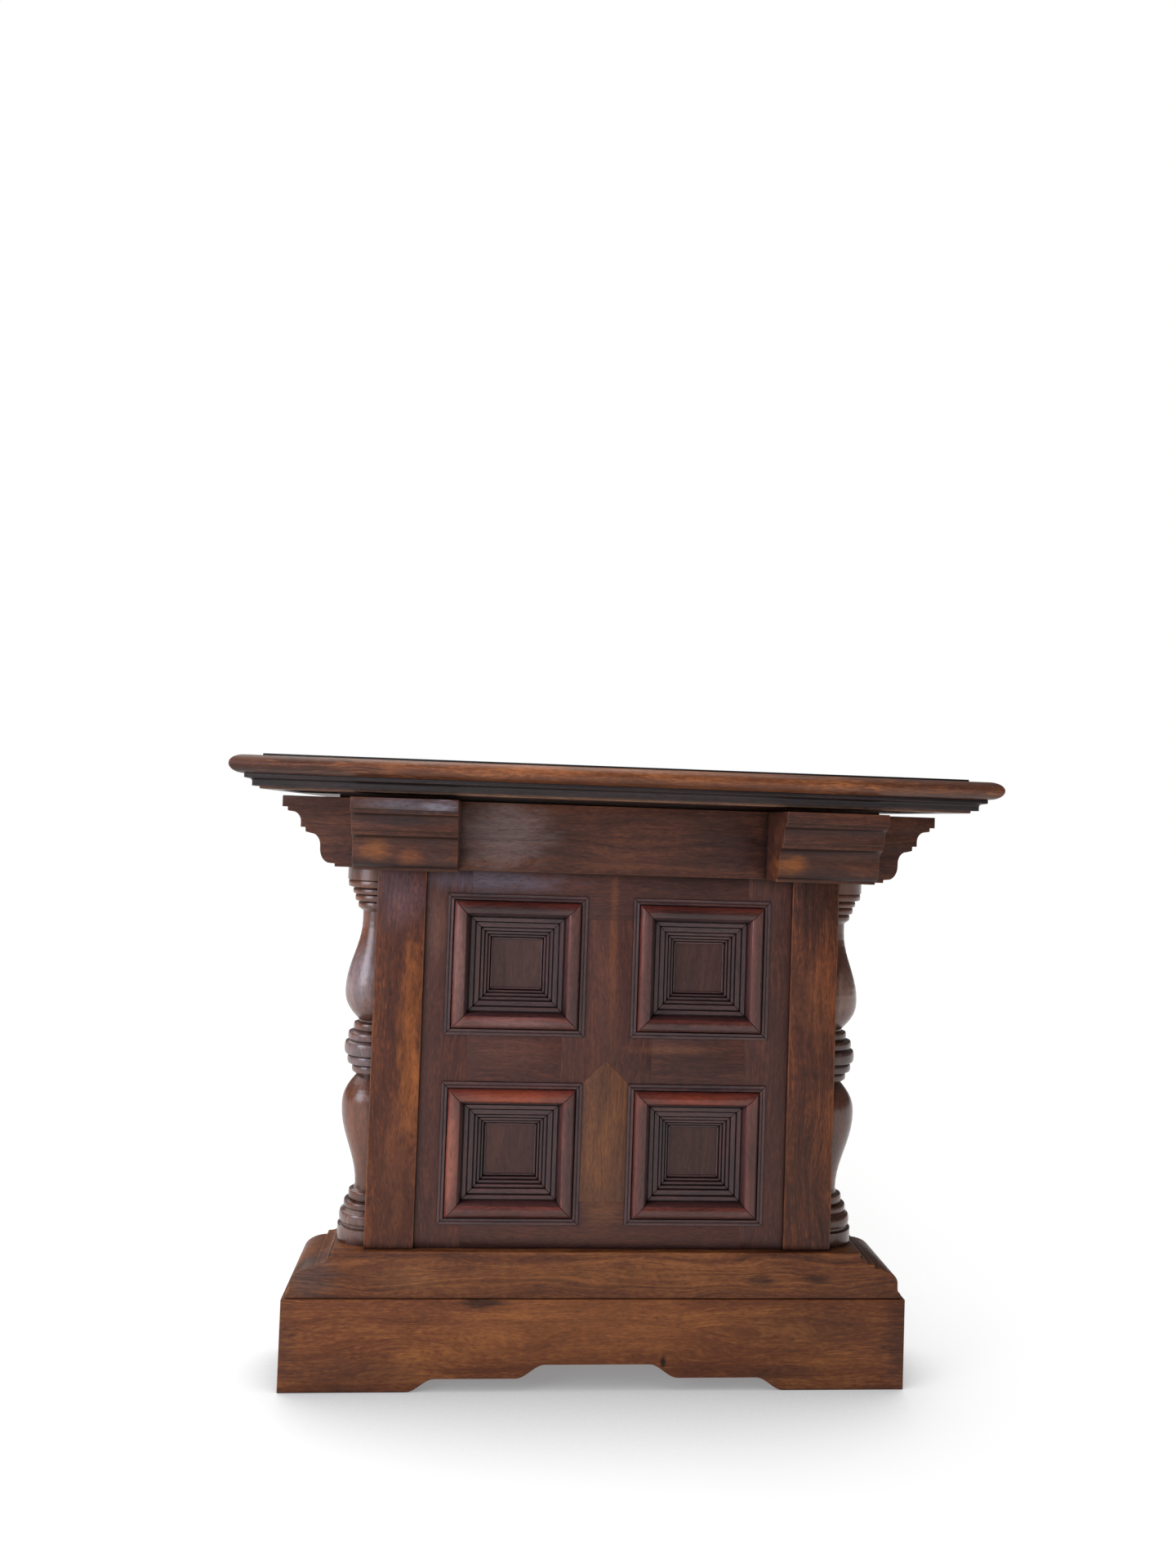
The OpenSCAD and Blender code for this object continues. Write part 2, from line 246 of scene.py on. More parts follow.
def drawGrain(tree, look, grain):
    # place in millimetres, shifted for each board so that no two are cut from the same plank
    metres = addNode(tree, "ShaderNodeTexCoord").outputs["Object"]
    place = addNode(tree, "ShaderNodeVectorMath", {0: metres, "Scale": 1 / mm}, operation="SCALE")
    board = addNode(tree, "ShaderNodeObjectInfo").outputs["Random"]
    plank = addNode(tree, "ShaderNodeTexWhiteNoise", {"W": board}, noise_dimensions="1D").outputs["Color"]
    inPlank = addNode(tree, "ShaderNodeVectorMath", {0: plank, 1: [boardShift] * 3, 2: place},
                      operation="MULTIPLY_ADD")
    slow = addNode(tree, "ShaderNodeVectorMath", {0: inPlank, 1: alongGrain(grain, *bandWander)},
                   operation="MULTIPLY")
    wander = addNode(tree, "ShaderNodeTexNoise", {"Vector": slow, "Scale": 1.0, "Detail": 1.5})
    bent = addNode(tree, "ShaderNodeVectorMath", {
        0: wander.outputs["Color"], 1: [look["warp"]] * 3, 2: inPlank}, operation="MULTIPLY_ADD")

    marks = {}
    for mark, (long, cross, detail) in look["marks"].items():
        drawn = addNode(tree, "ShaderNodeVectorMath", {0: bent, 1: alongGrain(grain, long, cross)},
                        operation="MULTIPLY")
        marks[mark] = addNode(tree, "ShaderNodeTexNoise", {
            "Vector": drawn, "Scale": 1.0, "Detail": detail, "Roughness": 0.58})

    # growth bands, as shells about a pith outside the board
    shells = addNode(tree, "ShaderNodeVectorMath", {0: bent, 1: alongGrain(grain, bandRun, 1)},
                     operation="MULTIPLY")
    radius = addNode(tree, "ShaderNodeVectorMath", {0: shells}, operation="LENGTH").outputs["Value"]
    bands = addNode(tree, "ShaderNodeTexNoise", {
        "W": radius, "Scale": 1 / look["ring"], "Detail": 3.0, "Roughness": 0.55}, noise_dimensions="1D")

    # tone from 0, darkest, to 1, lightest
    weights = (look["bands"], look["clouds"], look["fibres"])
    large = addNode(tree, "ShaderNodeCombineXYZ", {"X": bands, "Y": marks["cloud"], "Z": marks["fibre"]})
    tone = addNode(tree, "ShaderNodeVectorMath", {0: large, 1: weights}, operation="DOT_PRODUCT")
    tone = addNode(tree, "ShaderNodeMath", {
        0: marks["fleck"], 1: look["flecks"], 2: tone.outputs["Value"]}, operation="MULTIPLY_ADD")
    tone = addNode(tree, "ShaderNodeMath", {0: marks["curl"], 1: look["curl"], 2: tone},
                   operation="MULTIPLY_ADD")
    average = (sum(weights) + look["flecks"] + look["curl"]) / 2
    tone = addNode(tree, "ShaderNodeMath", {0: tone, 1: 0.5 - average}, operation="ADD")
    return place, marks, tone


def layColour(tree, wood, amount, hexText, figure):
    # another colour laid over by amount, with the grain still drawn in it; it lays wood colours and painted
    # light and shade alike
    tint = addNode(tree, "ShaderNodeVectorMath", {0: colour(hexText)[:3], "Scale": figure},
                   operation="SCALE")
    return addNode(tree, "ShaderNodeMix", {"Factor": amount, "A": wood, "B": tint},
                   data_type="RGBA").outputs["Result"]


def spotShape(tree, board, spot, place, marks):
    # from 1 inside to 0 outside, with edges drawn out along the fibres; a spot is placed in mm from
    # the middle of its board's front face, and y goes into the wood
    low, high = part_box(board)
    face = ((low.x + high.x) / 2, low.y, (low.z + high.z) / 2)
    middle = [at + start / mm for at, start in zip(spot["at"], face)]
    reach = [1 / size for size in spot["size"]]
    shift = [-at / size for at, size in zip(middle, spot["size"])]
    ragged = spot.get("ragged", 0.9)
    offset = addNode(tree, "ShaderNodeVectorMath", {0: place, 1: reach, 2: shift}, operation="MULTIPLY_ADD")
    away = addNode(tree, "ShaderNodeVectorMath", {0: offset}, operation="LENGTH").outputs["Value"]
    for mark in ("fibre", "rub"):
        away = addNode(tree, "ShaderNodeMath", {0: marks[mark], 1: ragged, 2: away},
                       operation="MULTIPLY_ADD")
    return addNode(tree, "ShaderNodeMapRange", {
        "Value": away, "From Min": ragged + 1.0, "From Max": ragged + 0.2, "To Max": spot["strength"]},
        interpolation_type="SMOOTHSTEP")


def colourWood(tree, look, place, marks, tone, facing):
    ramp = addNode(tree, "ShaderNodeValToRGB", {"Fac": tone})
    stops = ramp.color_ramp.elements
    stops[0].position = 0.12
    stops[0].color = colour(look["dark"])
    stops[1].position = 0.88
    stops[1].color = colour(look["light"])
    stops.new(0.5).color = colour(look["mid"])
    wood = ramp.outputs["Color"]
    figure = addNode(tree, "ShaderNodeMapRange", {
        "Value": tone, "From Min": 0.2, "From Max": 0.8,
        "To Min": look["figure"][0], "To Max": look["figure"][1]})
    if look["paintedLitSide"]:
        # painted light: faces turned toward the given direction are tinted as lit
        paintedDaylight = addNode(tree, "ShaderNodeVectorMath", {0: facing, 1: look["paintedLitSide"]["toward"]},
                         operation="DOT_PRODUCT").outputs["Value"]
        paintedDaylight = addNode(tree, "ShaderNodeMapRange", {
            "Value": paintedDaylight, "From Max": 0.6, "To Max": look["paintedLitSide"]["strength"]})
        wood = layColour(tree, wood, paintedDaylight, look["paintedLitSide"]["hex"], figure)
    for board, spots in look["spots"].items():
        for spot in spots:
            inside = spotShape(tree, board, spot, place, marks)
            wood = layColour(tree, wood, inside, spot["hex"], figure)
    pores = addNode(tree, "ShaderNodeMapRange", {
        "Value": marks["pore"], "From Min": 0.66, "From Max": 0.78, "To Max": look["pores"]})
    wood = addNode(tree, "ShaderNodeMix", {"Factor": pores, "A": wood, "B": colour(look["dark"])},
                   data_type="RGBA").outputs["Result"]
    return wood, pores


def wearHighlightWaxAndShade(tree, look, wood, marks, facing):
    # arrises rubbed through to bare wood, and painted highlights on the edges of the coffer treads
    rounded = addNode(tree, "ShaderNodeBevel", {"Radius": look["wearAndHighlightWidth"] * mm}, samples=5)
    turn = addNode(tree, "ShaderNodeVectorMath", {0: rounded, 1: facing}, operation="DOT_PRODUCT")
    openness = addNode(tree, "ShaderNodeAmbientOcclusion", {"Distance": look["grimeAndShadeReach"] * mm},
                       samples=5).outputs["AO"]
    edge = addNode(tree, "ShaderNodeMapRange", {
        "Value": turn.outputs["Value"], "From Min": 0.985, "From Max": 0.86, "To Max": look["wearAndHighlightAmount"]})
    proud = addNode(tree, "ShaderNodeMapRange", {"Value": openness, "From Min": 0.55, "From Max": 0.95})
    rubbed = addNode(tree, "ShaderNodeMapRange", {
        "Value": marks["rub"], "From Min": 0.38, "From Max": 0.62, "To Min": 0.25})
    edge = addNode(tree, "ShaderNodeMath", {0: edge, 1: proud}, operation="MULTIPLY")
    edge = addNode(tree, "ShaderNodeMath", {0: edge, 1: rubbed}, operation="MULTIPLY")
    wood = addNode(tree, "ShaderNodeMix", {"Factor": edge, "A": wood, "B": colour(look["wearAndHighlight"])},
                   data_type="RGBA").outputs["Result"]

    # painted shade: the faces that look down are darkened, and the hollows hold old dark wax and painted
    # shade
    upward = addNode(tree, "ShaderNodeSeparateXYZ", {0: facing}).outputs["Z"]
    below = addNode(tree, "ShaderNodeMapRange", {
        "Value": upward, "From Min": 0.15, "From Max": -0.85, "To Max": look["under"]})
    hollowWaxAndShade = addNode(tree, "ShaderNodeMapRange", {
        "Value": openness, "From Min": 0.95, "From Max": 0.35, "To Max": look["grimeAndShadeAmount"]})
    waxAndShade = addNode(tree, "ShaderNodeMath", {0: below, 1: hollowWaxAndShade}, operation="MAXIMUM")
    return addNode(tree, "ShaderNodeMix", {"Factor": waxAndShade, "A": wood, "B": colour(look["grimeAndShade"])},
                   data_type="RGBA").outputs["Result"]


def walnut(name, grain, **changes):
    look = dict(walnutBase, **changes)
    material = bpy.data.materials.new(f"{name}_{grain}")
    material.use_nodes = True
    tree = material.node_tree
    tree.nodes.clear()
    facing = addNode(tree, "ShaderNodeNewGeometry").outputs["Normal"]
    place, marks, tone = drawGrain(tree, look, grain)
    wood, pores = colourWood(tree, look, place, marks, tone, facing)
    wood = wearHighlightWaxAndShade(tree, look, wood, marks, facing)

    # the polish sinks along some fibres, and pores and plane marks catch the light
    polish = addNode(tree, "ShaderNodeMath", {0: marks["fibre"], 1: 0.5, 2: marks["cloud"]},
                     operation="MULTIPLY_ADD")
    polish = addNode(tree, "ShaderNodeMapRange", {
        "Value": polish, "From Min": 0.5, "From Max": 1.0,
        "To Min": look["smooth"], "To Max": look["rough"]})
    relief = addNode(tree, "ShaderNodeMath", {0: marks["fibre"], 1: 0.5}, operation="MULTIPLY")
    relief = addNode(tree, "ShaderNodeMath", {0: relief, 1: pores}, operation="SUBTRACT")
    grainBump = addNode(tree, "ShaderNodeBump", {
        "Height": relief, "Distance": look["bump"] * mm, "Strength": 0.7})
    planedBump = addNode(tree, "ShaderNodeBump", {
        "Height": marks["plane"], "Distance": look["planed"] * mm, "Strength": 0.6, "Normal": grainBump})
    shader = addNode(tree, "ShaderNodeBsdfPrincipled", {
        "Base Color": wood, "Roughness": polish, "Normal": planedBump,
        "Specular IOR Level": look["gloss"], "IOR": 1.5,
        "Coat Weight": look["coat"], "Coat Roughness": look["coatRoughness"]})
    addNode(tree, "ShaderNodeOutputMaterial", {"Surface": shader})
    return material


def hide(name, **look):
    # aniline-dyed hide with a fine pebble, waxed: nearly black with a soft sheen and paler rubbed places
    material = bpy.data.materials.new(name)
    material.use_nodes = True
    tree = material.node_tree
    tree.nodes.clear()
    place = addNode(tree, "ShaderNodeTexCoord").outputs["Object"]
    pebbles = addNode(tree, "ShaderNodeTexVoronoi", {"Vector": place, "Scale": 1 / (look["pebble"] * mm)},
                      feature="DISTANCE_TO_EDGE")
    creases = addNode(tree, "ShaderNodeTexNoise", {
        "Vector": place, "Scale": 1 / (look["crease"] * mm), "Detail": 4.0})
    tint = addNode(tree, "ShaderNodeMix", {
        "Factor": creases, "A": colour(look["deep"]), "B": colour(look["worn"])}, data_type="RGBA")
    rough = addNode(tree, "ShaderNodeMapRange", {
        "Value": creases, "From Min": 0.3, "From Max": 0.7,
        "To Min": look["smooth"], "To Max": look["rough"]})
    bump = addNode(tree, "ShaderNodeBump", {
        "Height": pebbles, "Distance": look["bump"] * mm, "Strength": 0.6})
    shader = addNode(tree, "ShaderNodeBsdfPrincipled", {
        "Base Color": tint.outputs["Result"], "Roughness": rough, "Normal": bump,
        "Specular IOR Level": look["gloss"]})
    addNode(tree, "ShaderNodeOutputMaterial", {"Surface": shader})
    return material


boardMesh = {
    "weld": 0.01,         # mm
    "flat": 0.6,          # degrees, faces that turn less than this are one flat face
    "roundFrom": 32,      # degrees, edges sharper than this get the arris
    "crispFrom": 38,      # degrees, the same for a piece whose edges are already modelled
}


def clean(node):
    # the CAD board's surface, welded, with its flat faces whole again
    work = bmesh.new()
    work.from_mesh(nodes[node].data)
    bmesh.ops.remove_doubles(work, verts=work.verts, dist=boardMesh["weld"] * mm)
    bmesh.ops.dissolve_limit(work, angle_limit=math.radians(boardMesh["flat"]), verts=work.verts,
                             edges=work.edges)
    return work


def finishPiece(name, work, materials, arris, stands):
    mesh = bpy.data.meshes.new(name)
    bmesh.ops.recalc_face_normals(work, faces=work.faces)
    work.to_mesh(mesh)
    work.free()
    piece = linkNew(bpy.data.objects.new(name, mesh))
    for material in materials:
        mesh.materials.append(material)
    mesh.shade_smooth()
    if arris:
        soft = piece.modifiers.new("softArris", "BEVEL")
        soft.width = arris * mm
        soft.segments = 3
        soft.limit_method = "ANGLE"
        soft.angle_limit = math.radians(boardMesh["roundFrom"])
        soft.harden_normals = True
    else:
        mesh.set_sharp_from_angle(angle=math.radians(boardMesh["crispFrom"]))
    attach(piece, "root")
    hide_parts(stands)


def dressBoards(names, material, arris):
    for name in names:
        finishPiece(f"{name}_wood", clean(name), [material], arris, name)


def bothEnds(*names):
    return [f"{end}_{name}" for end in ends for name in names]


# plinths: warm, close to bare, the grain lies flat
plinth = {
    "arris": 1.3,
    "wood": {"mid": "#703e24", "light": "#996033", "dark": "#4a2819", "wearAndHighlightAmount": 0.9, "grimeAndShadeReach": 4.0,
             "wearAndHighlightWidth": 2.2, "gloss": 0.16, "coat": 0.03},
    "smudges": {
        "front_plinth": [
            {"at": (-20, 0, 25), "size": (230, 60, 60), "hex": "#8f5730", "strength": 0.55},
            {"at": (-144, 0, 52), "size": (44, 40, 9), "hex": "#2c1b15", "strength": 0.85},
            {"at": (81, 0, -20), "size": (5, 30, 11), "hex": "#1c120e", "strength": 0.95, "ragged": 0.2},
            {"at": (385, 0, 5), "size": (40, 60, 80), "hex": "#3b241c", "strength": 0.6},
            {"at": (-300, 0, -33), "size": (130, 60, 30), "hex": "#563828", "strength": 0.4},
            {"at": (-386, 0, 15), "size": (30, 60, 70), "hex": "#472d22", "strength": 0.5},
            {"at": (230, 0, -33), "size": (90, 60, 14), "hex": "#4a2c20", "strength": 0.45},
            {"at": (265, 0, 25), "size": (140, 60, 50), "hex": "#54331f", "strength": 0.4},
        ],
    },
}
plinthWood = walnut("plinthWalnut", "x", spots=plinth["smudges"], **plinth["wood"])
dressBoards(bothEnds("plinth"), plinthWood, plinth["arris"])

# foot beams: tighter bands and a few knots
foot = {
    "arris": 1.3,
    "wood": {"mid": "#673a22", "light": "#8e5831", "dark": "#3e2217", "bands": 0.8, "ring": 7.0,
             "wearAndHighlightAmount": 0.8, "grimeAndShadeReach": 6.0, "gloss": 0.18, "coat": 0.03},
    "knots": {
        "front_foot_beam": [
            {"at": (-234, 0, -3), "size": (60, 50, 22), "hex": "#8f5f3a", "strength": 0.3},
            {"at": (-352, 0, 1), "size": (45, 60, 45), "hex": "#4f3f39", "strength": 0.65},
            {"at": (199, 0, -7), "size": (26, 40, 12), "hex": "#2f1d15", "strength": 0.7},
            {"at": (272, 0, -5), "size": (22, 40, 10), "hex": "#2f1d15", "strength": 0.7},
            {"at": (-30, 0, -1), "size": (140, 50, 18), "hex": "#8c562e", "strength": 0.55},
        ],
    },
}
footWood = walnut("footWalnut", "x", spots=foot["knots"], **foot["wood"])
dressBoards(bothEnds("foot_beam"), footWood, foot["arris"])
print("plinths and foot beams done")

# stiles: upright grain with orange streaking, a pale outer arris, painted sheen at the top of the left one
# and painted shade on the right one
stile = {
    "arris": 1.3,
    "wood": {"mid": "#583021", "light": "#8b4e2a", "dark": "#331c17", "wearAndHighlightWidth": 3.2, "wearAndHighlightAmount": 0.95,
             "gloss": 0.18, "coat": 0.03},
    "streaksAndPaintedLight": {
        "front_stile_l": [
            {"at": (17, 0, 21), "size": (19, 60, 190), "hex": "#a6602f", "strength": 0.65, "ragged": 1.4},
            {"at": (5, 0, -129), "size": (30, 60, 110), "hex": "#804d33", "strength": 0.4},
            # painted sheen at the top of the left stile
            {"at": (-2, 0, 211), "size": (50, 60, 75), "hex": "#52424a", "strength": 0.6},
            {"at": (-2, 0, -225), "size": (50, 60, 20), "hex": "#4a2f27", "strength": 0.3},
        ],
        "front_stile_r": [
            # painted shade at the top and foot of the right stile; the orange patch between is the wood's
            # own
            {"at": (2, 0, 211), "size": (55, 60, 80), "hex": "#33211d", "strength": 0.6},
            {"at": (2, 0, 79), "size": (34, 60, 70), "hex": "#7d4a2e", "strength": 0.45, "ragged": 1.4},
            {"at": (-2, 0, -159), "size": (50, 60, 150), "hex": "#41281f", "strength": 0.5},
        ],
    },
}
stileWood = walnut("stileWalnut", "z", spots=stile["streaksAndPaintedLight"], **stile["wood"])
dressBoards(bothEnds("stile_l", "stile_r"), stileWood, stile["arris"])

# the flush boards of the panel frame, one quiet brown, with painted sheen at the upper left, painted shade
# towards the right, and wax and painted shade around the coffers
panel = {
    "arris": 0.35,
    "wood": {"mid": "#4f2f28", "light": "#6a3e2d", "dark": "#36211d", "wearAndHighlightAmount": 0.1,
             "bands": 0.3, "clouds": 0.5, "fibres": 0.9, "grimeAndShadeReach": 14.0, "gloss": 0.2, "coat": 0.05},
    "stainsAndPaintedLight": {
        "front_mid_rails": [
            # painted shade on the right half of the mid rails
            {"at": (110, 0, -1), "size": (110, 60, 34), "hex": "#35201b", "strength": 0.6},
            {"at": (-115, 0, 6), "size": (70, 60, 22), "hex": "#6a4232", "strength": 0.45},
            {"at": (75, 0, 14), "size": (75, 60, 8), "hex": "#744930", "strength": 0.5, "ragged": 1.2},
        ],
        "front_top_rail": [
            # painted sheen on the left of the top rail and painted shade on its right
            {"at": (-150, 0, 17), "size": (130, 60, 22), "hex": "#645b67", "strength": 0.65},
            {"at": (110, 0, 15), "size": (120, 60, 24), "hex": "#35231f", "strength": 0.5},
        ],
        "front_margin_l": [
            {"at": (-15, 0, 161), "size": (25, 60, 70), "hex": "#6e4b3e", "strength": 0.45},
        ],
        "front_margin_r": [
            # painted shade down the right margin
            {"at": (15, 0, 21), "size": (22, 60, 190), "hex": "#3a2521", "strength": 0.4},
        ],
        "front_upper_mullion": [
            {"at": (0, 0, 18), "size": (24, 60, 110), "hex": "#6b4335", "strength": 0.45},
            {"at": (4, 0, 88), "size": (7, 60, 160), "hex": "#7c4a2e", "strength": 0.5, "ragged": 1.2},
        ],
        "front_lower_mullion": [
            {"at": (0, 0, -94), "size": (36, 60, 42), "hex": "#6d452d", "strength": 0.7, "ragged": 0.6},
        ],
        "front_bottom_rail": [
            {"at": (-60, 0, -11), "size": (150, 60, 12), "hex": "#603a2b", "strength": 0.5},
        ],
    },
}
uprightWood = walnut("frameWalnut", "z", spots=panel["stainsAndPaintedLight"], **panel["wood"])
levelWood = walnut("frameWalnut", "x", spots=panel["stainsAndPaintedLight"], **panel["wood"])
dressBoards(bothEnds("margin_l", "margin_r", "upper_mullion"), uprightWood, panel["arris"])
dressBoards(bothEnds("top_rail", "mid_rails", "bottom_rail"), levelWood, panel["arris"])

# lower mullions: a lighter, yellower board
pale = {
    "arris": 0.35,
    "wood": {"mid": "#69412b", "light": "#8b5933", "dark": "#492d21", "wearAndHighlightAmount": 0.1,
             "grimeAndShadeReach": 14.0},
}
paleWood = walnut("paleWalnut", "z", **pale["wood"])
dressBoards(bothEnds("lower_mullion"), paleWood, pale["arris"])

# cores: the plain ground that shows inside the coffers
core = {
    "arris": 0.8,
    "wood": {"mid": "#4b322c", "light": "#5e3c30", "dark": "#382420"},
    "stainsAndPaintedLight": {
        "front_core": [
            {"at": (0, 0, -109), "size": (400, 60, 110), "hex": "#472c27", "strength": 0.75},
        ],
    },
}
coreWood = walnut("coreWalnut", "z", spots=core["stainsAndPaintedLight"], **core["wood"])
dressBoards(bothEnds("core"), coreWood, core["arris"])
print("stiles, frames and cores done")


# coffers: mitred mouldings with a red roll between lines of black stain, drawn redder and lighter on the
# faces toward the upper left as painted light
coffer = {
    "side": 174.0,        # mm, all sizes here
    "depth": 18.0,
    "fillets": ((0, 1.6), (3, 2), (3.6, 0.8), (4.4, 2), (7.2, 2.2), (7.8, 0.2)),    # inwards and up
    "roll": (17.5, -0.6, 9.4, 8.2),    # its middle inwards and up, half its width, and its height
    "rollFoot": (27.2, -1.6),
    "treads": (6.2, 7.0, 4.6, 4.2, 3.6, 3.0),    # widths, from the roll down to the ground
    "firstTread": (27.9, -3.8),
    "treadDrop": 2.6,     # from one tread to the next
    "treadSlope": 0.3,    # from the outer edge of a tread to its inner edge
    "toe": (0.6, 0.5),    # the lip that ends at the ground: its width and its height
    "mitreWidth": 0.7,    # half the width of the line where two lengths meet
    "mitreDip": 0.8,
    "corner": 0.35,       # rounding of the small square edges
    "quirk": 1.3,         # depth and width of the grooves between the treads
    "red": (7.9, 23.5),    # the wood is red between these, and stained black on both sides
    "wood": {"mid": "#52302a", "light": "#744237", "dark": "#341d1b", "wearAndHighlight": "#94503c",
             "wearAndHighlightAmount": 0.3, "wearAndHighlightWidth": 1.8, "bands": 0.45, "grimeAndShadeReach": 7.0, "grimeAndShadeAmount": 0.95,
             "gloss": 0.4, "smooth": 0.22, "rough": 0.34, "coat": 0.04,
             # painted light: the faces toward the upper left are tinted red as lit
             "paintedLitSide": {"toward": (-0.6, 0.0, 0.8), "hex": "#76352a", "strength": 0.8}},
    # the pale tread edges are a painted highlight as well as wear
    "black": {"mid": "#483130", "light": "#62413a", "dark": "#291c1e", "wearAndHighlight": "#8e7068",
              "wearAndHighlightAmount": 0.5, "wearAndHighlightWidth": 0.8, "bands": 0.3, "grimeAndShadeReach": 4.0, "grimeAndShadeAmount": 1.0,
              "gloss": 0.4,
              # painted light: the faces toward the upper left are tinted red as lit
              "paintedLitSide": {"toward": (-0.6, 0.0, 0.8), "hex": "#5c2c28", "strength": 0.45}},
    "lights": {
        "front_coffer_tl": [
            # painted shade on the top roll, under the overhang; a painted highlight on the left roll; a
            # painted sheen on the bottom roll
            {"at": (1, 8, 68), "size": (100, 40, 14), "hex": "#241312", "strength": 0.65, "ragged": 0.4},
            {"at": (-72, 8, 3), "size": (18, 40, 100), "hex": "#9c6a60", "strength": 0.6, "ragged": 0.4},
            {"at": (1, 8, -66), "size": (80, 40, 12), "hex": "#a07068", "strength": 0.45, "ragged": 0.4},
        ],
        "front_coffer_tr": [
            # painted shade on the top roll, under the overhang
            {"at": (-1, 8, 68), "size": (100, 40, 14), "hex": "#241312", "strength": 0.65, "ragged": 0.4},
        ],
        "front_coffer_bl": [
            # painted light on the top roll, a darker bottom roll, a painted highlight on the left roll
            {"at": (1, 8, 66), "size": (95, 40, 17), "hex": "#9f4522", "strength": 0.65, "ragged": 0.4},
            {"at": (1, 8, -72), "size": (85, 40, 11), "hex": "#5c2a1e", "strength": 0.5, "ragged": 0.4},
            {"at": (-72, 8, 1), "size": (18, 40, 90), "hex": "#a05c48", "strength": 0.6, "ragged": 0.4},
        ],
        "front_coffer_br": [
            # painted light on the top roll, a darker bottom roll, painted shade on the right roll
            {"at": (-1, 8, 66), "size": (95, 40, 17), "hex": "#91371a", "strength": 0.6, "ragged": 0.4},
            {"at": (-1, 8, -72), "size": (85, 40, 11), "hex": "#4e251c", "strength": 0.5, "ragged": 0.4},
            {"at": (72, 8, -4), "size": (16, 40, 90), "hex": "#4a2018", "strength": 0.5, "ragged": 0.4},
        ],
    },
}


def curve(cx, cy, rx, ry, start, stop, steps):
    angles = [math.radians(start + (stop - start) * i / steps) for i in range(steps + 1)]
    return [(cx + rx * math.cos(a), cy + ry * math.sin(a)) for a in angles]


def softened(points, radius, sharp=35):
    # small square edges get a chamfer on each side of the corner
    points = [p for i, p in enumerate(points) if math.dist(p, points[i - 1]) > 0.001]
    out = []
    for i, here in enumerate(points):
        before, after = Vector(points[i - 1]), Vector(points[(i + 1) % len(points)])
        here = Vector(here)
        if (here - before).angle(after - here) < math.radians(sharp):
            out.append(tuple(here))
            continue
        for other in (before, after):
            reach = min(radius, (other - here).length * 0.4)
            out.append(tuple(here + (other - here).normalized() * reach))
    return out


def cofferSection():
    # (distance in from the outer edge, height over the panel frame), closed under the wood
    depth = coffer["depth"]
    quirk = coffer["quirk"]
    points = [(0, -depth), *coffer["fillets"], *curve(*coffer["roll"], 172, 8, 20), coffer["rollFoot"]]
    start, height = coffer["firstTread"]
    for width in coffer["treads"]:
        points += [(start, height - quirk), (start + quirk * 0.8, height - quirk), (start + quirk, height)]
        start += width
        points.append((start, height - coffer["treadSlope"]))
        height -= coffer["treadDrop"]
    lip, rise = coffer["toe"]
    points += [(start + lip, rise - depth), (start + lip, -depth)]
    return softened(points, coffer["corner"])


def makeCoffer(node, materials):
    low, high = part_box(node)
    outward = -1 if node.startswith("front") else 1
    middle = (low + high) / 2
    middle.y = (high.y if outward < 0 else low.y) + outward * coffer["depth"] * mm    # the frame's face
    half = coffer["side"] / 2
    section = cofferSection()
    work = bmesh.new()

    def place(spin, along, reach, height):
        # along the top length; the other three are turned copies of it
        around = spin @ Vector((along, 0, reach))
        return work.verts.new(middle + (around + Vector((0, outward * height, 0))) * mm)

    corners, rows = [], []
    for turn in range(4):
        spin = Matrix.Rotation(math.pi / 2 * turn, 3, "Y")
        corner, row = [], []
        for inward, height in section:
            reach = half - inward
            shoulder = reach - coffer["mitreWidth"]
            corner.append(place(spin, reach, reach, height - coffer["mitreDip"]))
            row.append([place(spin, -shoulder, reach, height), place(spin, shoulder, reach, height)])
        corners.append(corner)
        rows.append(row)
    count = len(section)
    for turn in range(4):
        upright = turn % 2
        before = corners[(turn + 3) % 4]
        for i in range(count):
            j = (i + 1) % count
            inward = (section[i][0] + section[j][0]) / 2
            black = 0 if coffer["red"][0] < inward < coffer["red"][1] else 2
            a, b = rows[turn][i], rows[turn][j]
            outer = [(before[i], a[0]), (a[0], a[1]), (a[1], corners[turn][i])]
            inner = [(before[j], b[0]), (b[0], b[1]), (b[1], corners[turn][j])]
            for (p, q), (r, s) in zip(outer, inner):
                face = work.faces.new((p, q, s, r))
                face.material_index = upright + black
    finishPiece(f"{node}_moulded", work, materials, 0.0, node)


cofferWoods = [walnut("redWalnut", axis, spots=coffer["lights"], **coffer["wood"]) for axis in ("x", "z")]
cofferWoods += [walnut("ebonisedWalnut", axis, **coffer["black"]) for axis in ("x", "z")]
for node in bothEnds("coffer_tl", "coffer_tr", "coffer_bl", "coffer_br"):
    makeCoffer(node, cofferWoods)
print("coffers done")


